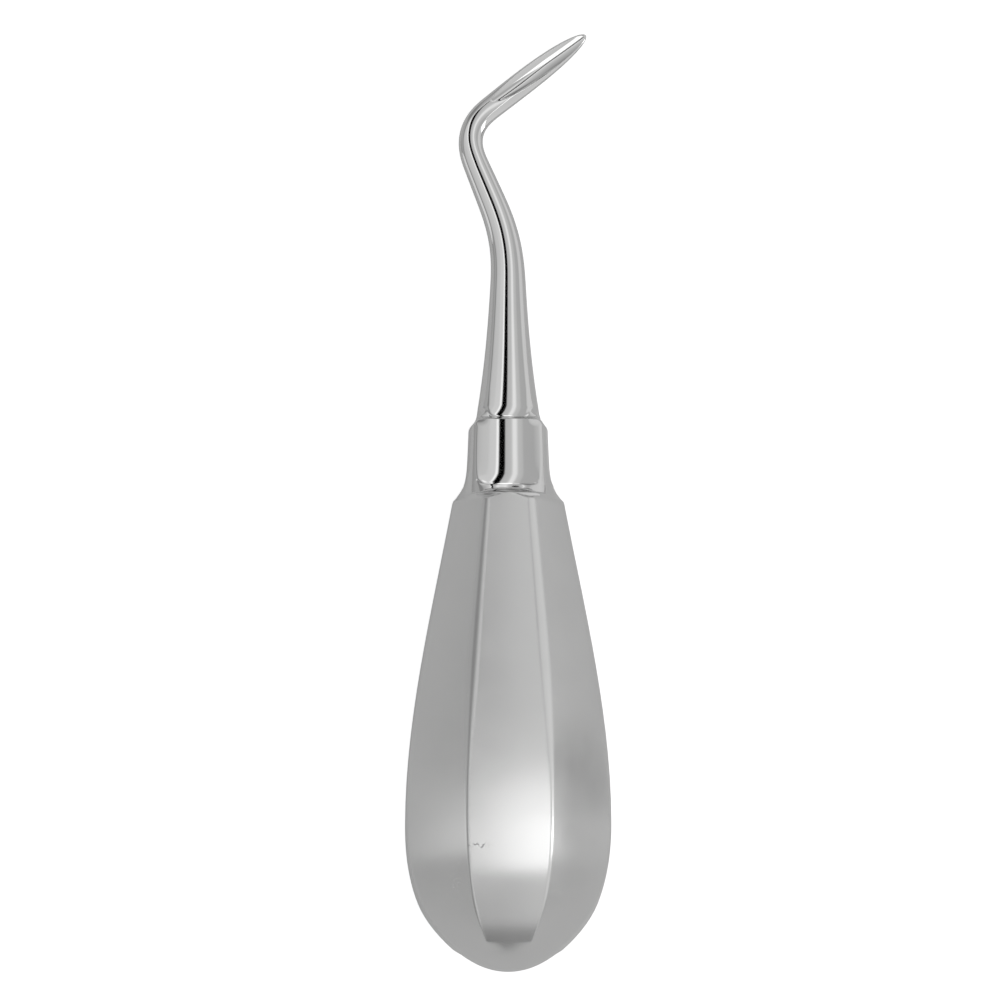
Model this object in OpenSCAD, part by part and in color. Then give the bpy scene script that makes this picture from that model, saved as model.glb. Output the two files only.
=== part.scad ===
// Bent dental elevator, lying on its back as it comes to rest on a table.
// One forged and ground piece of steel: a pear-shaped grip with eight flats, a ferrule
// and a shank with four, and a bent blade with a hollow ground into its face.
// The body is lofted along its middle line. Each cross-section is a round of the size
// across the corners, cut by flats at the size across the flats, so a flat ends in an
// arc where the corners thin down to it. Lengths are millimetres.

/* [Grip] */
// Across the flats at the widest place
grip_width = 31.9; // [28:0.1:35]
// Size across the edges for each millimetre across the flats
grip_edges = 1.06; // [1.03:0.005:1.08]
// From the butt end to the widest place
belly_station = 22.5; // [19:0.5:27]
// From the butt end to the shoulder
grip_length = 71.7; // [62:0.2:84]
// Across the flats at the shoulder
shoulder_width = 17.5; // [16:0.1:19]
// Gain in half-width for each millimetre from the shoulder towards the belly
shoulder_taper = 0.19; // [0.14:0.005:0.23]
// Fullness of the butt end, where 2 is an ellipse
butt_fullness = 2.2; // [1.9:0.02:2.4]
// Length of the round cap that ends the flats at the butt
cap_length = 4; // [3:0.1:6]
// Length over which the edges rise out of the cap
cap_blend = 2.6; // [1.5:0.1:4]

/* [Ferrule] */
// From the grip's shoulder to the ferrule's full width
flare_length = 6; // [5:0.1:7]
// Across the flats at the end by the grip
ferrule_width = 12.8; // [12.4:0.1:13.4]
// Across the flats at the end by the shank
ferrule_tip_width = 12.3; // [11.8:0.1:12.8]
// Across the round corners
ferrule_corners = 15.2; // [14.4:0.1:16]
// From the flare to the step
ferrule_length = 6.1; // [4:0.1:10]
// Length of the step down to the shank
step_length = 3.1; // [2.6:0.1:4]

/* [Shank] */
// Across the flats beside the step
shank_width = 9.4; // [8.4:0.1:10]
// Size across the corners for each millimetre across the flats
shank_corners = 1.17; // [1.1:0.01:1.24]
// From the step to the first bend
shank_length = 18.4; // [14:0.2:26]
// Across the flats between the bends
waist_width = 4.15; // [3.8:0.05:4.6]

/* [Bends] */
// Angle of the first bend, to the left
first_angle = 22.9; // [10:0.1:30]
// Length of the first bend
first_length = 15.6; // [12:0.2:20]
// Straight length between the bends
between_bends = 4.4; // [2:0.2:8]
// Angle of the second bend, to the right
second_angle = 74.7; // [50:0.1:85]
// Length of the second bend
second_length = 11; // [9:0.2:14]
// Narrowest width, in the second bend
neck_width = 3.65; // [3.2:0.05:3.8]

/* [Blade] */
// From the second bend to the tip
blade_length = 18.1; // [15:0.1:22]
// Widest part of the blade
blade_width = 3.8; // [3.6:0.1:4.4]
// Thickness for each millimetre of width
blade_flatness = 0.62; // [0.5:0.01:0.75]
// Length over which the outline narrows to the tip
point_length = 13; // [10:0.2:14]
// Fullness of the pointed outline, where 2 is an ellipse
point_fullness = 2.2; // [1.9:0.05:2.6]
// Further turn of the blade along its length
blade_turn = 1.6; // [0:0.1:4]

/* [Hollow] */
// Radius of the cutter that ground the hollow
hollow_radius = 2; // [1.8:0.05:2.6]
// Length over which the cutter runs in from the bend
hollow_run_in = 6.5; // [4:0.1:9]
// Height of the floor above the middle plane, after the run-in
hollow_floor = 0.15; // [0:0.05:0.4]
// Height of the floor at the tip
hollow_tip_floor = 0.3; // [0.2:0.05:0.5]
// Shift to the left where the hollow starts
hollow_shift = 0.6; // [0:0.05:0.8]

/* [Hidden] */

// Slight crown on the flats: its radius for each millimetre of half-width
grip_crown = 12;
polished_crown = 5;

// Stations along the middle line, counted from the butt end
flare_end = grip_length + flare_length;
ferrule_end = flare_end + ferrule_length;
step_end = ferrule_end + step_length;
first_bend = step_end + shank_length;
second_bend = first_bend + first_length + between_bends;
blade_start = second_bend + second_length;
tip = blade_start + blade_length;
point_start = tip - point_length;

function mix(a, b, t) = a + (b - a) * t;
function clamped(t) = min(max(t, 0), 1);
function smooth(t) = t * t * (3 - 2 * t);
function ramp(s, from, to) = smooth(clamped((s - from) / (to - from)));
function hermite(t, a, b, slope_a, slope_b) =
    a + t * (slope_a + t * (3 * (b - a) - 2 * slope_a - slope_b
        + t * (2 * (a - b) + slope_a + slope_b)));

// A smooth curve through rows of [station, value, slope]
function curve(rows, s, i = 0) =
    i < len(rows) - 2 && s > rows[i + 1][0] ? curve(rows, s, i + 1) :
    let (a = rows[i], b = rows[i + 1], l = b[0] - a[0])
    hermite(clamped((s - a[0]) / l), a[1], b[1], a[2] * l, b[2] * l);

// The rows of an ogee between two rows. Each of its own is the share of the length,
// the share of the fall, and the slope over the mean slope.
function ogee(shape, a, b) =
    [for (r = shape)
        [mix(a[0], b[0], r[0]), mix(a[1], b[1], r[1]), r[2] * (b[1] - a[1]) / (b[0] - a[0])]];

// A quarter of a rounded end, where t runs from its wide side to its end
function closing(t, fullness) = sqrt(1 - pow(clamped(t), fullness));

// Half the size across the flats
flare_shape = [[0.3, 0.44, 2.55], [0.46, 0.7, 1.13], [0.7, 0.9, 0.5]];
step_shape = [[0.29, 0.28, 1.55], [0.58, 0.7, 0.9]];
shoulder_row = [grip_length, shoulder_width / 2, -shoulder_taper];
flare_row = [flare_end, ferrule_width / 2, -0.06];
ferrule_row = [ferrule_end, ferrule_tip_width / 2, -0.03];
step_row = [step_end, shank_width / 2, -0.166];
outline = concat(
    [[belly_station, grip_width / 2, 0], shoulder_row],
    ogee(flare_shape, shoulder_row, flare_row),
    [flare_row, ferrule_row],
    ogee(step_shape, ferrule_row, step_row),
    [
        step_row,
        [second_bend - between_bends, waist_width / 2, -0.035],
        [mix(second_bend, blade_start, 0.7), neck_width / 2, 0],
        [point_start, blade_width / 2, 0],
        [tip, blade_width / 2, 0]
    ]
);
function half_flats(s) =
    s < belly_station ? grip_width / 2 * closing(1 - s / belly_station, butt_fullness) :
    curve(outline, s) * closing((s - point_start) / point_length, point_fullness);

// The corners thin down to a round at the cap, on both sides of the ferrule, and
// towards the blade
round_flare = mix(grip_length, flare_end, 0.48);
round_ferrule = mix(grip_length, flare_end, 0.62);
round_step = mix(ferrule_end, step_end, 0.57);
function grip_share(s) =
    ramp(s, cap_length, cap_length + cap_blend)
    * (1 - ramp(s, mix(grip_length, flare_end, 0.34), round_flare));
function ferrule_share(s) =
    ramp(s, round_ferrule, mix(grip_length, flare_end, 0.94))
    * (1 - ramp(s, mix(ferrule_end, step_end, 0.1), round_step));
function shank_share(s) =
    ramp(s, round_step, mix(ferrule_end, step_end, 0.95))
    * mix(1, 0.35, ramp(s, second_bend, point_start));
function half_corners(s) =
    let (h = half_flats(s))
    h * (1 + (grip_edges - 1) * grip_share(s) + (shank_corners - 1) * shank_share(s))
    + max(0, ferrule_corners / 2 - h) * ferrule_share(s);

function flats(s) = s < mix(round_flare, round_ferrule, 0.5) ? 8 : 4;
function crown_radius(s) = half_flats(s) * (flats(s) == 8 ? grip_crown : polished_crown);
function thickness(s) = mix(1, blade_flatness, ramp(s, second_bend, point_start));

// Distance of a crowned flat at an angle from its middle
function flat_reach(h, crown, angle) =
    let (q = crown - h)
    sqrt(crown * crown - q * q * pow(sin(angle), 2)) - q * cos(angle);
// The angle at which a crowned flat meets the corner's round
function flat_end(h, crown, corner) =
    let (q = crown - h)
    acos(clamped((crown * crown - q * q - corner * corner) / (2 * corner * q)));

// Angles of one flat and one corner. The middle of a flat lies between two of them, so a
// flat rests on a strip and not on a ridge. A wide flat gets twice as many as a narrow one,
// and its corner follows it.
function corner_angles(s) =
    let (
        n = flats(s),
        flat_steps = n == 8 ? 3 : 5,
        corner_steps = n == 8 ? 2 : 5,
        half = 180 / n,
        meets = flat_end(half_flats(s), crown_radius(s), half_corners(s)),
        end = min(max(meets, half * 0.45), half * 0.94),
        flat = [for (i = [0 : flat_steps]) mix(-end, end, i / flat_steps)],
        corner = [for (i = [1 : corner_steps - 1]) mix(end, 2 * half - end, i / corner_steps)]
    )
    n == 8 ? concat([-half], flat) : concat(flat, corner);

function section(s) =
    let (
        n = flats(s),
        h = half_flats(s),
        corner = half_corners(s),
        crown = crown_radius(s),
        deep = thickness(s),
        angles = corner_angles(s)
    )
    [for (k = [0 : n - 1]) for (a = angles)
        let (
            off = a > 180 / n ? a - 360 / n : a,
            r = min(flat_reach(h, crown, off), corner),
            turn = a + k * 360 / n
        )
        [r * sin(turn), r * cos(turn) * deep]];

// The middle line: its heading at a station, and its points by small steps
function heading(s) =
    second_angle * ramp(s, second_bend, blade_start)
    - first_angle * ramp(s, first_bend, first_bend + first_length)
    + blade_turn * clamped((s - blade_start) / blade_length);
function ahead(s) = [sin(heading(s)), cos(heading(s))];
function line_points(stations) =
    [for (i = 0, p = [0, stations[0]];
        i < len(stations);
        p = p + (i + 1 < len(stations) ? stations[i + 1] - stations[i] : 0)
            * ahead((stations[i] + stations[min(i + 1, len(stations) - 1)]) / 2),
        i = i + 1) p];

// A ring of points across the middle line
function ring(outline_points, p, s) =
    let (d = ahead(s))
    [for (q = outline_points) [p.x + q[0] * d[1], p.y - q[0] * d[0], q[1]]];

function spread(from, to, count) = [for (i = [0 : count - 1]) mix(from, to, i / count)];
function eased(from, to, count) =
    [for (i = [0 : count - 1]) mix(from, to, 1 - cos(90 * i / count))];
stations = concat(
    eased(0.02, cap_length, 6),
    spread(cap_length, cap_length + cap_blend, 5),
    spread(cap_length + cap_blend, belly_station, 9),
    spread(belly_station, grip_length, 20),
    spread(grip_length, flare_end, 18),
    spread(flare_end, ferrule_end, 3),
    spread(ferrule_end, step_end, 13),
    spread(step_end, first_bend, 7),
    spread(first_bend, second_bend, 12),
    spread(second_bend, blade_start, 14),
    spread(blade_start, point_start, 5),
    [for (i = [0 : 15]) mix(point_start, tip, sin(90 * (i + 0.1) / 15.6))]
);
middle = line_points(stations);
rings = [for (i = [0 : len(stations) - 1]) ring(section(stations[i]), middle[i], stations[i])];

function average(points) = points * [for (p = points) 1] / len(points);

// A closed skin over rings with the same number of points
module loft(rings) {
    n = len(rings[0]);
    count = len(rings);
    points = concat([for (r = rings) for (p = r) p],
        [[for (k = [0 : 2]) average([for (p = rings[0]) p[k]])],
         [for (k = [0 : 2]) average([for (p = rings[count - 1]) p[k]])]]);
    faces = concat(
        [for (j = [0 : count - 2]) for (i = [0 : n - 1])
            let (a = j * n + i, b = j * n + (i + 1) % n)
            for (f = [[a, b + n, b], [a, a + n, b + n]]) f],
        [for (i = [0 : n - 1]) [count * n, i, (i + 1) % n]],
        [for (i = [0 : n - 1])
            let (last = (count - 1) * n)
            [count * n + 1, last + (i + 1) % n, last + i]]
    );
    polyhedron(points, faces);
}

// The hollow: a round-nosed cutter that runs in at the bend and leaves at the tip
hollow_top = half_flats(blade_start) * thickness(blade_start);
hollow_sides = 44;
function hollow_height(s) =
    let (run = 1 - (s - blade_start) / hollow_run_in)
    mix(hollow_floor, hollow_tip_floor, clamped((s - blade_start) / blade_length))
    + (hollow_top - hollow_floor) * (run > 1 ? 1.5 * run - 0.5 : pow(max(run, 0), 1.5));
function hollow_side(s) = -hollow_shift * pow(1 - clamped((s - blade_start) / blade_length), 2);
function hollow_round(s) =
    [for (i = [0 : hollow_sides - 1])
        let (a = 360 * i / hollow_sides)
        [hollow_side(s) + hollow_radius * sin(a),
         hollow_height(s) + hollow_radius * (1 + cos(a))]];
hollow_stations = concat(
    spread(blade_start - 1, blade_start + hollow_run_in, 10),
    spread(blade_start + hollow_run_in, tip + 1.5, 8)
);
function line_at(s) =
    let (
        i = max([for (k = [0 : len(stations) - 1]) stations[k] <= s ? k : 0]),
        from = stations[i]
    )
    middle[i] + (s - from) * ahead((s + from) / 2);

module hollow() {
    loft([for (s = hollow_stations) ring(hollow_round(s), line_at(s), s)]);
}

// How it lies: on its back flat and on the blade's tip, or rocked over on the flat
// alone, whichever brings its point of balance lowest
skin = [for (r = rings) for (p = r) p];
weights = [for (s = stations) pow(half_flats(s), 2)];
function lengths(i) = stations[min(i + 1, len(stations) - 1)] - stations[max(i - 1, 0)];
masses = [for (i = [0 : len(stations) - 1]) weights[i] * lengths(i)];
balance = masses * stations / (masses * [for (m = masses) 1]);
function lift(tilt) =
    max([for (p = skin) (p.y - balance) * sin(tilt) - p.z * cos(tilt)]);
function lowest(from, to, tries = 22) =
    tries == 0 ? (from + to) / 2 :
    let (a = mix(from, to, 0.4), b = mix(from, to, 0.6))
    lift(a) < lift(b) ? lowest(from, b, tries - 1) : lowest(a, to, tries - 1);
rest_tilt = lowest(0, 20);
laid = [for (p = skin)
    [p.x,
     p.y * cos(rest_tilt) + p.z * sin(rest_tilt),
     p.z * cos(rest_tilt) - p.y * sin(rest_tilt)]];
function low(k) = min([for (p = laid) p[k]]);
function high(k) = max([for (p = laid) p[k]]);

module elevator() {
    color("silver")
    translate([-(low(0) + high(0)) / 2, -(low(1) + high(1)) / 2, -low(2)])
    rotate([-rest_tilt, 0, 0])
    difference() {
        loft(rings);
        hollow();
    }
}

elevator();
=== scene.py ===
from math import cos, pi, radians, sin, sqrt, tau

import bpy
import numpy as np
from mathutils import Euler, Matrix, Vector


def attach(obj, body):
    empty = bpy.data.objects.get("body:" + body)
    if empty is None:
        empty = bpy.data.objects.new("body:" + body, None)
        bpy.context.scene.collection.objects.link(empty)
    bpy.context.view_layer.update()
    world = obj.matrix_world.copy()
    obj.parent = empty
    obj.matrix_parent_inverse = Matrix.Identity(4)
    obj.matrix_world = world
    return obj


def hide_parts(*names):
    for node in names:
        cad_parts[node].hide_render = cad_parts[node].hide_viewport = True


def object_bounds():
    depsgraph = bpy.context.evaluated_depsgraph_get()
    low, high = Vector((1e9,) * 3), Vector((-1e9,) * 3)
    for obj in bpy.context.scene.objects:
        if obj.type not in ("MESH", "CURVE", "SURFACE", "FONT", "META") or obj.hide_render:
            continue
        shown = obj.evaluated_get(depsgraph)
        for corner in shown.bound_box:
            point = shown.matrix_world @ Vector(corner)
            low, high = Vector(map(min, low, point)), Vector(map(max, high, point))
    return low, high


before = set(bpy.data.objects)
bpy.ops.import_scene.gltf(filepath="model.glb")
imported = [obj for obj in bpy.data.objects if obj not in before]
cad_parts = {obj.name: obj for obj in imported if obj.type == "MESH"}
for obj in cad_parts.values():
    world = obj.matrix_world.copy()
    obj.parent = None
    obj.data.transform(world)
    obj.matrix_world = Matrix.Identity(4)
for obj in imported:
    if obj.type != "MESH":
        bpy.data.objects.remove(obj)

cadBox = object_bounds()
mm = 0.001

# Stations are millimetres along the middle line, from the butt end to the tip.
# Tool axes: X to the right, Y towards the blade, Z out of the face with the hollow.
grip = {
    "width": 31.6,                          # across the flats at the belly
    "edges": 1.0735, "topEdges": 1.06,      # across the edges, for each mm across the flats
    "topShare": 0.7,                        # of the length, where topEdges holds
    "belly": 22.5,                          # station of the widest place
    "length": 71.7,
    "shoulder": 17.35,                      # across the flats where the flare starts
    "taper": 0.188,
    "fullness": 2.2,                        # of the butt end, 2 is an ellipse
    "tuck": 0.085, "tuckLength": 11,        # the butt is slimmer than that by this share
    "cap": 2.2, "capBlend": 1.6,            # round, where the flats have ended
    "crown": 12,                            # crown radius of a flat, for each mm of half-width
    "lean": 0.7,                            # degrees that the flats were ground out of true
}
# Rows of an ogee: share of its length, share of its fall, slope against the mean
ferrule = {
    "flare": 6.0, "flareOgee": [(0.3, 0.44, 2.05), (0.46, 0.7, 1.2), (0.7, 0.9, 0.5)],
    "width": 12.7, "tipWidth": 12.2, "slope": -0.06, "tipSlope": -0.03,
    "corners": 15.9, "tipCorners": 14.9, "softCorners": 0.15,
    "length": 5.65, "crown": 5, "lean": 0.8,
    "squareStart": 73.7, "squareEnd": 75.2,         # where the round flare turns square
    "step": 3.55, "stepOgee": [(0.17, 0.215, 2.08), (0.325, 0.535, 1.67), (0.55, 0.8, 0.85)],
    "stepCorners": (0.1, 0.9), "leanEnd": 0.3,      # shares of the step
}
# The front and back are steeper than the sides: a wall at the flare and a ledge at the step
face = {
    "wallStart": 72.9, "wallEnd": 74.0, "wallFoot": 13.5, "wallSlope": -0.14,
    "wallOgee": [(0.35, 0.4, 1.9), (0.65, 0.82, 1.1)],
    "ledgeStart": 84.6, "ledgeEnd": 85.2, "ledgeOgee": [(0.4, 0.5, 1.9)],
    "cosine": 0.6, "blend": 0.3,            # of the turn from the face, where the sides give way to it
}
shank = {
    "width": 9.36, "slope": -0.16,
    "corners": 1.17,                        # across the corners, for each mm across the flats
    "length": 18.37, "waist": 4.26, "waistSlope": -0.035,
}
bends = {
    "firstAngle": 22.7, "firstLength": 15.6,        # to the left
    "between": 4.4,
    "secondAngle": 74.3, "secondLength": 11.0,      # to the right
    "neck": 3.62, "neckShare": 0.7,                 # narrowest, and its place in the second bend
}
blade = {
    "length": 18.0, "width": 3.77, "flatness": 0.62, "corners": 1.06,
    "point": 13.0, "fullness": 2.35,        # length of the pointed outline, and how full it is
    "turn": 1.6,                            # degrees
}
# A round cutter runs in from the bend, a little to the left, and leaves a floor over the middle plane
hollow = {"radius": 2.0, "lead": 1, "runIn": 10.5, "floor": 0.15, "tipFloor": 0.3, "shift": 0.85}
# Where flats stop: the grip's in shallow arches, those of ferrule and shank with round corners
runOut = {
    "gripSides": 72.5, "gripMiddles": 73.05, "arch": 0.7, "gripFade": 0.35,
    "ferruleStart": 74.4, "ferruleRound": 1.15, "ferruleEnd": 84.7, "ferruleEndRound": 0.35,
    "shankStart": 85.1, "shankRound": 1.1, "shankWidth": 6.3, "fade": 0.2,
    "skew": 0.029, "skewLength": 2.3,       # slope across a flat where it starts, and for how long
    "lineDepth": 0.05, "lineWidth": 0.12,   # the fine line that the wheel left round each start
    "lineLead": 0.3, "lineReach": 1.3, "lineMargin": 0.5,
}
# How soft the edges are, and where that changes
buffing = {
    "belly": 0.12, "grip": 0.3, "gripShare": 0.6,
    "polished": 0.09, "polishLead": 1, "polishShare": 0.3,
    "rim": 0.05, "fullWidth": 1.5,          # half-width below which edges get sharper
}

flareEnd = grip["length"] + ferrule["flare"]
ferruleEnd = flareEnd + ferrule["length"]
stepEnd = ferruleEnd + ferrule["step"]
firstBend = stepEnd + shank["length"]
secondBend = firstBend + bends["firstLength"] + bends["between"]
bladeStart = secondBend + bends["secondLength"]
tip = bladeStart + blade["length"]
pointStart = tip - blade["point"]


# for numbers, and for values in a shader
def mix(a, b, t):
    return a + (b - a) * t


def clamped(t):
    return min(max(t, 0.0), 1.0)


def ramp(s, start, end):
    t = clamped((s - start) / (end - start))
    return t * t * (3 - 2 * t)


# smooth curve through rows of station, value, slope
def curve(rows, s):
    i = 0
    while i < len(rows) - 2 and s > rows[i + 1][0]:
        i += 1
    (s0, a, slopeA), (s1, b, slopeB) = rows[i], rows[i + 1]
    span = s1 - s0
    t, p, q = clamped((s - s0) / span), slopeA * span, slopeB * span
    return a + t * (p + t * (3 * (b - a) - 2 * p - q + t * (2 * (a - b) + p + q)))


def ogee(shape, a, b):
    mean = (b[1] - a[1]) / (b[0] - a[0])
    return [(mix(a[0], b[0], along), mix(a[1], b[1], fall), slope * mean) for along, fall, slope in shape]


# a row on the straight line through another
def carriedOn(row, s):
    return s, row[1] + row[2] * (s - row[0]), row[2]


bellyRow = (grip["belly"], grip["width"] / 2, 0)
shoulderRow = (grip["length"], grip["shoulder"] / 2, -grip["taper"])
flareRow = (flareEnd, ferrule["width"] / 2, ferrule["slope"])
ferruleRow = (ferruleEnd, ferrule["tipWidth"] / 2, ferrule["tipSlope"])
stepRow = (stepEnd, shank["width"] / 2, shank["slope"])
wallTop = carriedOn(shoulderRow, face["wallStart"])
wallFoot = (face["wallEnd"], face["wallFoot"] / 2, face["wallSlope"])
ledgeTop = carriedOn(ferruleRow, face["ledgeStart"])
ledgeFoot = carriedOn(stepRow, face["ledgeEnd"])
thinRows = [
    (secondBend - bends["between"], shank["waist"] / 2, shank["waistSlope"]),
    (mix(secondBend, bladeStart, bends["neckShare"]), bends["neck"] / 2, 0),
    (pointStart, blade["width"] / 2, 0), (tip, blade["width"] / 2, 0),
]
sideOutline = [
    bellyRow, shoulderRow, *ogee(ferrule["flareOgee"], shoulderRow, flareRow),
    flareRow, ferruleRow, *ogee(ferrule["stepOgee"], ferruleRow, stepRow), stepRow, *thinRows,
]
faceOutline = [
    bellyRow, shoulderRow, wallTop, *ogee(face["wallOgee"], wallTop, wallFoot), wallFoot,
    flareRow, ferruleRow, ledgeTop, *ogee(face["ledgeOgee"], ledgeTop, ledgeFoot), ledgeFoot,
    stepRow, *thinRows,
]


def halfFlats(s, outline=sideOutline):
    if s < grip["belly"]:
        tucked = 1 - grip["tuck"] * (1 - ramp(s, 0, grip["tuckLength"]))
        return grip["width"] / 2 * sqrt(1 - (1 - s / grip["belly"]) ** grip["fullness"]) * tucked
    closing = clamped((s - pointStart) / blade["point"])
    return curve(outline, s) * sqrt(1 - closing ** blade["fullness"])


# station in the step down to the shank
def inStep(t):
    return mix(ferruleEnd, stepEnd, t)


# the round that the four flats of ferrule and shank are ground into
def cornerRadius(s):
    if s < grip["belly"]:
        return halfFlats(s)
    if s < stepEnd:
        onShank = shank["corners"] * shank["width"] / 2
        along = clamped((s - runOut["ferruleStart"]) / (runOut["ferruleEnd"] - runOut["ferruleStart"]))
        onFerrule = mix(ferrule["corners"], ferrule["tipCorners"], along) / 2
        start, end = ferrule["stepCorners"]
        return mix(onFerrule, onShank, ramp(s, inStep(start), inStep(end)))
    return halfFlats(s) * mix(shank["corners"], blade["corners"], ramp(s, secondBend, pointStart))


# stations between the last flats of one part and the first of the next
afterGrip = mix(runOut["gripMiddles"], runOut["ferruleStart"], 0.5)
afterFerrule = mix(runOut["ferruleEnd"], runOut["shankStart"], 0.5)


def thickness(s):
    return mix(1, blade["flatness"], ramp(s, secondBend, pointStart))


# radians that the flats are turned about the middle line
def lean(s):
    if s < afterGrip:
        return radians(grip["lean"])
    return radians(ferrule["lean"] * (1 - ramp(s, inStep(ferrule["leanEnd"]), stepEnd)))


# signed angle from the middle of the nearest flat
def offFlat(turn, count):
    return (turn + pi / count) % (tau / count) - pi / count


# distance from the middle line to a crowned flat
def flatReach(h, crown, off):
    q = crown - h
    return np.sqrt(crown ** 2 - (q * np.sin(off)) ** 2) - q * np.cos(off)


def smooth(t):
    t = np.clip(t, 0, 1)
    return t * t * (3 - 2 * t)


def softMin(a, b, k):
    return np.minimum(a, b) - k * np.log1p(np.exp(-np.abs(a - b) / k))


# station where each flat of the grip ends, furthest in the middle of the straight ones
def gripStop(turn):
    square = np.cos(2 * turn) ** 2
    arch = runOut["gripMiddles"] - runOut["arch"] * (offFlat(turn, 8) / (pi / 8)) ** 2
    return mix(runOut["gripSides"], arch, square)


# distance into a flat from its end, which has rounded corners
def intoFlat(inward, across, halfWidth, radius, ownWidth=None):
    widest = radius - runOut["fade"] if ownWidth is None or halfWidth < ownWidth else None
    beside = np.clip(np.abs(across) - min(halfWidth, ownWidth or halfWidth) + radius, 0, widest)
    return radius - np.hypot(np.maximum(radius - inward, 0), beside)


# slope across a flat of ferrule or shank, so that what it mirrors bends aside where the flat starts
def skew(s):
    start = runOut["ferruleStart" if s < afterFerrule else "shankStart"]
    return runOut["skew"] * clamped(1 - (s - start) / runOut["skewLength"]) ** 2


# one for the fine line to be drawn at this station, or zero
def hasLine(s):
    pastFerrule, pastShank = s - runOut["ferruleStart"], s - runOut["shankStart"]
    return pastFerrule < runOut["lineReach"] or -runOut["lineLead"] < pastShank < runOut["lineReach"]


# the grip: the reach of its eight flats, and how far they are cut
def gripFlats(s, h, leaned):
    edges = mix(grip["edges"], grip["topEdges"], ramp(s, grip["belly"], grip["length"] * grip["topShare"]))
    flats = np.minimum(h * edges, flatReach(h, h * grip["crown"], offFlat(leaned, 8)))
    onCap = ramp(s, grip["cap"], grip["cap"] + grip["capBlend"])
    return flats, smooth((gripStop(leaned) - s) / runOut["gripFade"]) * onCap


# ferrule and shank: the same for their four flats, and the depth of the fine line
def squareFlats(s, h, corner, leaned):
    off = offFlat(leaned, 4)
    plane = flatReach(h, h * ferrule["crown"], off) * (1 - skew(s) * np.sin(off))
    across = plane * np.sin(off)
    halfWidth = np.abs(across[plane <= corner + 1e-6]).max()
    if s < afterFerrule:
        into = np.minimum(
            intoFlat(s - runOut["ferruleStart"], across, halfWidth, runOut["ferruleRound"]),
            intoFlat(runOut["ferruleEnd"] - s, across, halfWidth, runOut["ferruleEndRound"]))
    else:
        ownWidth = runOut["shankWidth"] / 2
        into = intoFlat(s - runOut["shankStart"], across, halfWidth, runOut["shankRound"], ownWidth)
    onFlat = smooth((halfWidth - np.abs(across)) / runOut["lineMargin"]) * hasLine(s)
    line = runOut["lineDepth"] * np.exp(-(into / runOut["lineWidth"]) ** 2) * onFlat
    return np.minimum(corner, plane), smooth(into / runOut["fade"]), line


# a round body, cut by flats, as complex numbers: real to the right, imaginary to the front
def roundWithFlats(s):
    turn = np.linspace(-pi, pi, skin["fine"], endpoint=False)       # from the front, starting at the back
    leaned = turn - lean(s)
    facing = smooth((np.abs(np.cos(leaned)) - face["cosine"]) / face["blend"])
    h = mix(halfFlats(s), halfFlats(s, faceOutline), facing)
    corner = np.maximum(h, cornerRadius(s))
    turned = h + (corner - h) * np.sin(2 * leaned) ** 2
    squared = softMin(corner, flatReach(h, h * ferrule["crown"], offFlat(leaned, 4)), ferrule["softCorners"])
    body = mix(turned, squared, ramp(s, ferrule["squareStart"], ferrule["squareEnd"]))
    if s < afterGrip:
        flats, share = gripFlats(s, h, leaned)
        line = 0
    else:
        flats, share, line = squareFlats(s, h, corner, leaned)
    reach = mix(body - line, flats - line, share)
    return reach * (np.sin(turn) + 1j * thickness(s) * np.cos(turn))


hollowTop = halfFlats(bladeStart) * thickness(bladeStart)


# middle of the cutter that grinds the hollow, in a section
def hollowCentre(s):
    along = clamped((s - bladeStart) / blade["length"])
    run = 1 - (s - bladeStart) / hollow["runIn"]
    rise = 2 * run - 1 if run > 1 else max(run, 0) ** 2
    height = mix(hollow["floor"], hollow["tipFloor"], along) + (hollowTop - hollow["floor"]) * rise
    return complex(-hollow["shift"] * (1 - along) ** 2, height + hollow["radius"])


def cutHollow(section, s):
    centre = hollowCentre(s)
    inside = np.flatnonzero(np.abs(section - centre) < hollow["radius"])
    if s < bladeStart - hollow["lead"] or len(inside) < 2:
        return section
    first, last = inside[0], inside[-1]
    a, b = np.angle(section[[first, last]] - centre)
    arc = centre + hollow["radius"] * np.exp(1j * np.linspace(a, b, skin["arc"]))
    return np.concatenate([section[:first], arc, section[last + 1:]])


# evenly spaced points on a closed line, and the length of it
def evenly(points, count):
    closed = np.append(points, points[0])
    reach = np.append(0, np.cumsum(np.abs(np.diff(closed))))
    return np.interp(np.linspace(0, reach[-1], count, endpoint=False), reach, closed), reach[-1]


def blurred(values, length, sigma):
    waves = np.fft.fftfreq(len(values), length / len(values)) * tau
    return np.fft.ifft(np.fft.fft(values) * np.exp(-(waves * sigma) ** 2 / 2))


def softness(s):
    softest = grip["length"] * buffing["gripShare"]
    onGrip = mix(buffing["belly"], buffing["grip"], ramp(s, grip["belly"], softest))
    polishStart = grip["length"] - buffing["polishLead"]
    polishEnd = mix(grip["length"], flareEnd, buffing["polishShare"])
    onSteel = mix(onGrip, buffing["polished"], ramp(s, polishStart, polishEnd))
    onBlade = mix(onSteel, buffing["rim"], ramp(s, secondBend, pointStart))
    return onBlade * min(1, halfFlats(s) / buffing["fullWidth"])


# Points round a section: fine ones to cut it, even samples to soften it, and the columns of the mesh
skin = {
    "fine": 1440, "arc": 400, "samples": 2048, "columns": 240,
    "blur": 0.4, "blurShare": 60,           # mm, but never more than the length over this
    "gather": 2.2, "sharp": 6,              # how much closer columns stand, and the bend that it takes
    "gatherShare": 140,
    "firstRing": 0.02, "flareStart": 72.6, "flareEnd": 76, "stepEnd": 86,      # stations with many rings
    "capRings": 40, "pointRings": 72,
}


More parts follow.
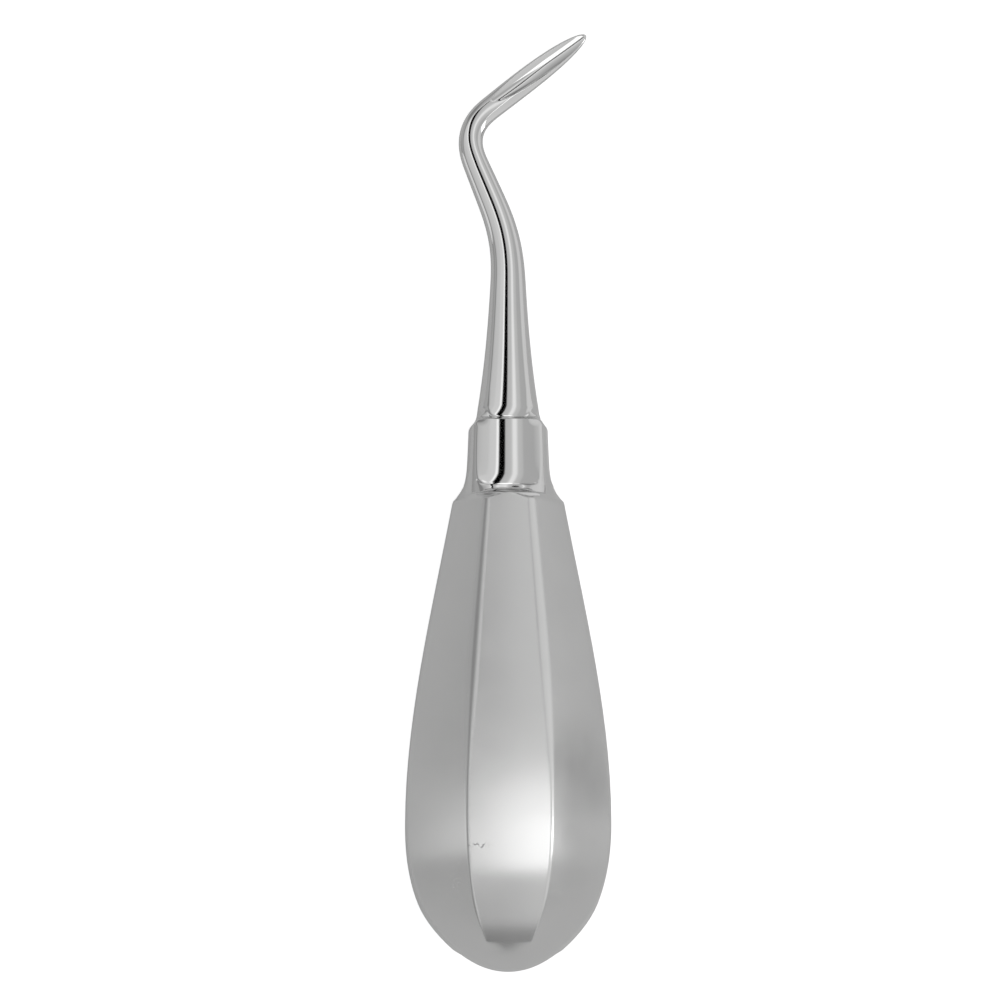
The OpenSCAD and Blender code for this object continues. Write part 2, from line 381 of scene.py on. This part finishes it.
# a softened section, with its columns closer together where it turns sharply
def sectionAt(s):
    even, length = evenly(cutHollow(roundWithFlats(s), s), skin["samples"])
    soft = blurred(even, length, softness(s))
    spacing = length / skin["samples"]
    broad = blurred(even, length, min(skin["blur"], length / skin["blurShare"]))
    bend = np.abs(np.roll(broad, 1) + np.roll(broad, -1) - 2 * broad) / spacing ** 2 * length / tau
    closer = skin["gather"] * np.tanh(np.maximum(bend - 1, 0) / skin["sharp"])
    pull = blurred(1 + closer, length, length / skin["gatherShare"]).real
    share = np.append(0, np.cumsum(pull))
    wanted = np.linspace(0, share[-1], skin["columns"], endpoint=False)
    return np.interp(wanted, share, np.append(soft, soft[0]))


# the middle line: heading in radians, then the step that it takes
def heading(s):
    first = bends["firstAngle"] * ramp(s, firstBend, firstBend + bends["firstLength"])
    second = bends["secondAngle"] * ramp(s, secondBend, bladeStart)
    return radians(second - first + blade["turn"] * clamped((s - bladeStart) / blade["length"]))


def ahead(s):
    return complex(sin(heading(s)), cos(heading(s)))


def spread(start, end, count):
    return [mix(start, end, i / count) for i in range(count)]


# closer together at the start
def eased(start, end, count):
    return [mix(start, end, 1 - cos(pi / 2 * i / count)) for i in range(count)]


# closer together at the end, which the last one just doesn't reach
def slowing(start, end, count):
    return [mix(start, end, sin(pi / 2 * (i + 0.1) / (count - 0.4))) for i in range(count)]


# rings from one station to the next, most where the flats run out and in the bends
capEnd = grip["cap"] + grip["capBlend"]
ringPlan = [
    (capEnd, 18), (grip["belly"], 14), (grip["length"] - 1, 12), (skin["flareStart"], 66),
    (skin["flareEnd"], 10), (ferruleEnd, 52), (skin["stepEnd"], 6), (stepEnd, 14),
    (firstBend, 34), (secondBend, 52), (bladeStart, 24), (pointStart, 0),
]
stations = eased(skin["firstRing"], capEnd, skin["capRings"])
for (start, count), (end, nextCount) in zip(ringPlan, ringPlan[1:]):
    stations += spread(start, end, count)
stations += slowing(pointStart, tip, skin["pointRings"])


def middleLine():
    points = [complex(0, stations[0])]
    for a, b in zip(stations, stations[1:]):
        points.append(points[-1] + (b - a) * ahead((a + b) / 2))
    return points


# Satin on the grip, with an edge this wide, and a share of it on the flare
finish = {"fade": 0.12, "flare": 0.2, "flareEnd": 74.3, "flareFade": 0.4}


# 1 on the satin grip, 0 past the line where each of its flats runs out
def satinAt(s, section):
    turn = np.angle(section.imag + 1j * section.real) - lean(grip["belly"])
    onFlare = finish["flare"] * (1 - ramp(s, finish["flareEnd"] - finish["flareFade"], finish["flareEnd"]))
    return np.maximum(np.clip((gripStop(turn) - s) / finish["fade"] + 0.5, 0, 1), onFlare)


def skinPoints():
    points, satin = [], []
    for s, middle in zip(stations, middleLine()):
        section = sectionAt(s)
        plan = middle + section.real * -1j * ahead(s)
        points.append(np.column_stack([plan.real, plan.imag, section.imag]))
        satin.append(satinAt(s, section))
    ends = [points[0].mean(0), points[-1].mean(0)]
    return np.vstack(points + ends), np.concatenate(satin + [[1, 0]])


def skinFaces():
    n, last = skin["columns"], (len(stations) - 1) * skin["columns"]
    nexts = [(i + 1) % n for i in range(n)]
    faces = [(j + i, j + nexts[i], j + n + nexts[i], j + n + i) for j in range(0, last, n) for i in range(n)]
    butt = [(nexts[i], i, last + n) for i in range(n)]
    point = [(last + i, last + nexts[i], last + n + 1) for i in range(n)]
    return faces + butt + point


lying = {"tilt": 7.6}       # degrees, tip down


# lies on its back flat and on the blade's tip, in the middle of the CAD box
def lieDown(points):
    tilt = Matrix.Rotation(-radians(lying["tilt"]), 4, "X")
    turned = points @ np.array(tilt.to_3x3()).T
    low, high = turned.min(0), turned.max(0)
    floor = (low + high) / 2
    floor[2] = low[2]
    boxFloor = (cadBox[0] + cadBox[1]) / 2 / mm
    boxFloor[2] = cadBox[0][2] / mm
    return Matrix.Translation(boxFloor - Vector(floor)) @ tilt


def buildElevator():
    points, satin = skinPoints()
    toolToTable = Matrix.Scale(mm, 4) @ lieDown(points)
    mesh = bpy.data.meshes.new("elevatorSkin")
    mesh.from_pydata(points, [], skinFaces())
    mesh.transform(toolToTable)
    mesh.shade_smooth()
    mask = mesh.attributes.new("satin", "FLOAT", "POINT")
    mask.data.foreach_set("value", satin)
    piece = bpy.data.objects.new("elevatorBody", mesh)
    bpy.context.scene.collection.objects.link(piece)
    print("skin: %d rings of %d points, %d faces" % (len(stations), skin["columns"], len(mesh.polygons)))
    return piece


# A socket of a node, for writing shader maths as sums and products
class Value:
    def __init__(self, graph, socket):
        self.graph, self.socket = graph, socket

    def maths(self, operation, *values):
        return self.graph.node("ShaderNodeMath", {"operation": operation}, dict(enumerate(values)))

    def __add__(self, other):
        return self.maths("ADD", self, other)

    def __sub__(self, other):
        return self.maths("SUBTRACT", self, other)

    def __rsub__(self, other):
        return self.maths("SUBTRACT", other, self)

    def __mul__(self, other):
        return self.maths("MULTIPLY", self, other)

    def __truediv__(self, other):
        return self.maths("DIVIDE", self, other)

    def __rtruediv__(self, other):
        return self.maths("DIVIDE", other, self)

    __radd__ = __add__
    __rmul__ = __mul__

    def size(self):
        return self.maths("ABSOLUTE", self)

    # the angle whose sine this is
    def degrees(self):
        return self.maths("ARCSINE", self) * (180 / pi)

    # x, y and z of a vector
    def parts(self):
        return self.graph.node("ShaderNodeSeparateXYZ", {}, {0: self}, output=(0, 1, 2))

    # 0 below the first value, 1 above the second
    def rise(self, low, high):
        return self.graph.node(
            "ShaderNodeMapRange", {"interpolation_type": "SMOOTHSTEP"},
            {"Value": self, "From Min": low, "From Max": high})


class Graph:
    def __init__(self, owner):
        owner.use_nodes = True
        self.tree = owner.node_tree
        self.tree.nodes.clear()

    # settings first, a ramp's stops among them, then the values and links of the sockets
    def node(self, kind, settings={}, inputs={}, output=0):
        made = self.tree.nodes.new(kind)
        for name, value in settings.items():
            if name == "stops":
                self.setStops(made.color_ramp.elements, value)
            else:
                setattr(made, name, value)
        for name, value in inputs.items():
            if isinstance(value, Value):
                self.tree.links.new(value.socket, made.inputs[name])
            else:
                made.inputs[name].default_value = value
        if isinstance(output, tuple):
            return [Value(self, made.outputs[name]) for name in output]
        return Value(self, made.outputs[output]) if made.outputs else None

    def setStops(self, elements, stops):
        for i, (place, level) in enumerate(stops):
            stop = elements[i] if i < 2 else elements.new(place)
            stop.position, stop.color = place, (level, level, level, 1)

    def stretched(self, vector, scale):
        return self.node("ShaderNodeVectorMath", {"operation": "MULTIPLY"}, {0: vector, 1: scale})

    def noise(self, vector, scale, detail=2.0, roughness=0.5):
        return self.node("ShaderNodeTexNoise", {}, {
            "Vector": vector, "Scale": scale, "Detail": detail, "Roughness": roughness})

    def between(self, factor, a, b):
        return self.node("ShaderNodeMix", {"data_type": "RGBA"}, {"Factor": factor, 6: a, 7: b}, output=2)


steel = {
    "bright": (0.785, 0.785, 0.78, 1), "dull": (0.735, 0.735, 0.733, 1),
    "satinRoughness": 0.24, "polishedRoughness": 0.03,
    "clouds": 0.11, "cloudColor": 1.2, "cloudSatin": 0.1, "cloudPolish": 0.02,      # scale, then their shares
    "cloudHeight": 0.00003, "polishHeight": 0.1,        # m, and the share of it on polished steel
    "grain": 2.6, "grainStretch": (1, 4, 1), "grainColor": 0.3, "grainSatin": 0.08,
    "grainHeight": 0.000002,                            # m
    "bump": 0.2,
}
# A few casting pits on the front flat
pits = {
    "x": -4.5, "y": -52.4, "width": 2.3, "length": 0.6, "edge": 0.3,    # mm, an oval patch
    "above": (20, 21),                      # mm over the table, to keep them off the back
    "grain": 2.4, "rise": (0.6, 0.67), "color": (0.25, 0.25, 0.25, 1), "share": 0.7, "depth": 6,
}


def pitMask(g, place):
    x, y, z = place.parts()
    across, along = (x - pits["x"]) / pits["width"], (y - pits["y"]) / pits["length"]
    patch = (1 - across * across - along * along).rise(0, pits["edge"]) * z.rise(*pits["above"])
    return patch * g.noise(place, pits["grain"], 1).rise(*pits["rise"])


def steelMaterial():
    material = bpy.data.materials.new("steel")
    g = Graph(material)
    place = g.stretched(g.node("ShaderNodeTexCoord", output="Object"), (1 / mm,) * 3)    # millimetres
    satin = g.node("ShaderNodeAttribute", {"attribute_name": "satin"}, output="Fac")
    clouds = g.noise(place, steel["clouds"], 2)
    grain = g.noise(g.stretched(place, steel["grainStretch"]), steel["grain"], 3, 0.6)
    pitted = pitMask(g, place)
    bright = (clouds - 0.5) * steel["cloudColor"] + 0.5 + (grain - 0.5) * satin * steel["grainColor"]
    plain = g.between(bright, steel["dull"], steel["bright"])
    color = g.between(pitted * pits["share"], plain, pits["color"])
    polishedRoughness = steel["polishedRoughness"] + clouds * steel["cloudPolish"]
    satinRoughness = (steel["satinRoughness"] + (clouds - 0.5) * steel["cloudSatin"]
                      + (grain - 0.5) * steel["grainSatin"])
    fine = g.node("ShaderNodeBump", {}, {
        "Strength": steel["bump"], "Distance": steel["grainHeight"],
        "Height": grain * satin - pitted * pits["depth"]})
    wavy = g.node("ShaderNodeBump", {}, {
        "Strength": steel["bump"], "Distance": steel["cloudHeight"],
        "Height": clouds * mix(steel["polishHeight"], 1, satin), "Normal": fine})
    surface = g.node("ShaderNodeBsdfPrincipled", {}, {
        "Base Color": color, "Metallic": 1.0, "Normal": wavy,
        "Roughness": mix(polishedRoughness, satinRoughness, satin)})
    g.node("ShaderNodeOutputMaterial", {}, {"Surface": surface})
    return material


piece = buildElevator()
piece.data.materials.append(steelMaterial())
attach(piece, "root")
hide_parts("elevator")
print("elevator: dressed")

# The photograph's frame: square, looking straight down at the table
photo = {"size": 1000, "axisX": 508.1, "buttY": 971.3, "scale": 0.1534}     # px, px, px, mm for each px
view = {
    "lens": 700, "sensor": 36,
    "plane": 14,                # height of the middle line at the belly, mm
    "near": 0.01, "far": 20,    # m
}


def addCamera():
    camera = bpy.data.cameras.new("camera")
    camera.lens, camera.sensor_width = view["lens"], view["sensor"]
    camera.clip_start, camera.clip_end = view["near"], view["far"]
    away = photo["size"] * photo["scale"] * view["lens"] / view["sensor"]
    middle = photo["size"] / 2
    right = (middle - photo["axisX"]) * photo["scale"]
    along = cadBox[0][1] / mm + (photo["buttY"] - middle) * photo["scale"]
    holder = bpy.data.objects.new("camera", camera)
    holder.location = Vector((right, along, view["plane"] + away)) * mm
    bpy.context.scene.collection.objects.link(holder)
    bpy.context.scene.camera = holder
    print("camera: %.2f m over the table" % holder.location.z)


# Lamps, in mm over the middle of the table. Each faces down, then is turned.
studio = {
    "keyTop": {"middle": (115, -24, 620), "size": (250, 388), "turn": (0, 0, 0), "level": 0.85},
    "keyRight": {"middle": (620, -39, 366), "size": (518, 174), "turn": (0, 90, 0), "level": 1.9},
    "keyLeft": {"middle": (-620, -30, 205), "size": (330, 200), "turn": (0, -90, 0), "level": 0.42},
}


def placedAt(middle, turn):
    return Matrix.Translation(Vector(middle) * mm) @ Euler([radians(a) for a in turn]).to_matrix().to_4x4()


def addLamp(name, lamp):
    data = bpy.data.lights.new(name, "AREA")
    data.shape = "RECTANGLE"
    data.size, data.size_y = lamp["size"][0] * mm, lamp["size"][1] * mm
    data.energy = pi * lamp["level"] * data.size * data.size_y      # level is the brightness of its face
    holder = bpy.data.objects.new(name, data)
    holder.matrix_world = placedAt(lamp["middle"], lamp["turn"])
    holder.visible_camera = False
    bpy.context.scene.collection.objects.link(holder)


# a plain sheet, seen from both sides
def addSheet(name, sheet, material):
    mesh = bpy.data.meshes.new(name)
    width, depth = (side * mm / 2 for side in sheet["size"])
    corners = [(x * width, y * depth, 0) for x, y in ((-1, -1), (1, -1), (1, 1), (-1, 1))]
    mesh.from_pydata(corners, [], [(0, 1, 2, 3)])
    mesh.materials.append(material)
    holder = bpy.data.objects.new(name, mesh)
    holder.matrix_world = placedAt(sheet["middle"], sheet["turn"])
    bpy.context.scene.collection.objects.link(holder)
    return holder


table = {
    "middle": (0, 0, cadBox[0][2] / mm), "size": (6000, 6000), "turn": (0, 0, 0),
    "color": (0.6, 0.6, 0.6, 1), "whiteness": 0.8,
    "inSteel": 0.13,        # share of the glow that the steel mirrors
}


# 1 where the camera sees the background, also through something clear, a share where steel mirrors it
def whiteTo(g, inSteel):
    rays = ("Is Camera Ray", "Is Transmission Ray", "Is Glossy Ray")
    camera, clear, mirrored = g.node("ShaderNodeLightPath", output=rays)
    return camera + clear + mirrored * inSteel


def tableMaterial():
    material = bpy.data.materials.new("tableWhite")
    g = Graph(material)
    seen = whiteTo(g, table["inSteel"])
    matte = g.node("ShaderNodeBsdfDiffuse", {}, {"Color": table["color"]})
    glow = g.node("ShaderNodeEmission", {}, {"Strength": seen * table["whiteness"]})
    both = g.node("ShaderNodeAddShader", {}, {0: matte, 1: glow})
    g.node("ShaderNodeOutputMaterial", {}, {"Surface": both})
    return material


# A low dark flag beside the belly, which only the steel sees
flag = {"middle": (300, 18, 13), "size": (28, 46), "turn": (0, 90, 0), "color": (0.05, 0.05, 0.05, 1)}


def flagMaterial():
    material = bpy.data.materials.new("flagBlack")
    g = Graph(material)
    matte = g.node("ShaderNodeBsdfDiffuse", {}, {"Color": flag["color"]})
    g.node("ShaderNodeOutputMaterial", {}, {"Surface": matte})
    return material


# What the steel mirrors: rows of degrees to the right of straight up, and brightness there
room = {
    "across": [
        # left wall, left half of the roof
        (-89, 0.42), (-78, 0.46), (-68, 0.54), (-50, 0.54), (-44, 0.34), (-32, 0.34),
        (-25, 0.57), (-17, 0.68), (-13, 0.8), (-9.7, 0.84), (-8.9, 0.92), (-5.3, 0.95),
        # a bright lamp and the dark gap beside it
        (-5.0, 1.45), (-3.95, 1.45), (-3.7, 0.0), (-0.6, 0.0), (-0.35, 0.72),
        # right half of the roof with a second lamp, right wall
        (3.2, 0.8), (4.2, 1.2), (5.9, 1.2), (6.9, 0.8), (9.1, 0.74), (10, 0.62), (15.5, 0.6),
        (19, 0.78), (26, 0.86), (55, 0.92), (72, 0.88), (84, 0.76), (89, 0.68)],
    "brightest": 1.5,
    # the gap turns to the left towards the tip, but the walls don't, degrees
    "veer": 2, "veerAlong": (26, 50), "veerAcross": (12, 30),
    # dark above the table's edge at the right
    "footLevel": 0.25, "footHeight": (2.5, 4.5), "footAlong": (5, 9), "footAcross": (20, 40),
    # dark bands towards the butt and the tip, degrees from straight up
    "bandLevel": 0.42, "buttBand": (65, 73), "buttBandEnd": (85, 89.5), "tipBand": (60, 70),
}


# white to the camera, and to the steel a pale tent with a dark gap over the tool
def paintRoom():
    world = bpy.data.worlds.new("room")
    bpy.context.scene.world = world
    g = Graph(world)
    x, y, z = (part.degrees() for part in g.node("ShaderNodeTexCoord", output="Generated").parts())
    veer = y.rise(*room["veerAlong"]) * room["veer"] * (1 - x.size().rise(*room["veerAcross"]))
    stops = [(0.5 + angle / 180, level / room["brightest"]) for angle, level in room["across"]]
    across = g.node("ShaderNodeValToRGB", {"stops": stops}, {0: (x + veer) / 180 + 0.5}) * room["brightest"]
    foot = (1 - z.rise(*room["footHeight"])) * (1 - y.rise(*room["footAlong"])) * x.rise(*room["footAcross"])
    toButt = 0 - y
    band = toButt.rise(*room["buttBand"]) * (1 - toButt.rise(*room["buttBandEnd"])) + y.rise(*room["tipBand"])
    level = across * mix(1, room["footLevel"], foot) * mix(1, room["bandLevel"], band)
    glow = g.node("ShaderNodeBackground", {}, {"Strength": mix(level, 1, whiteTo(g, 0))})
    g.node("ShaderNodeOutputWorld", {}, {"Surface": glow})


addCamera()
for name, lamp in studio.items():
    addLamp(name, lamp)
addSheet("table", table, tableMaterial())
darkFlag = addSheet("flag", flag, flagMaterial())
darkFlag.visible_camera = darkFlag.visible_shadow = darkFlag.visible_diffuse = False
paintRoom()
bpy.context.scene.view_settings.view_transform = "Standard"
print("studio: %d lamps, a table and a flag in a white room" % len(studio))
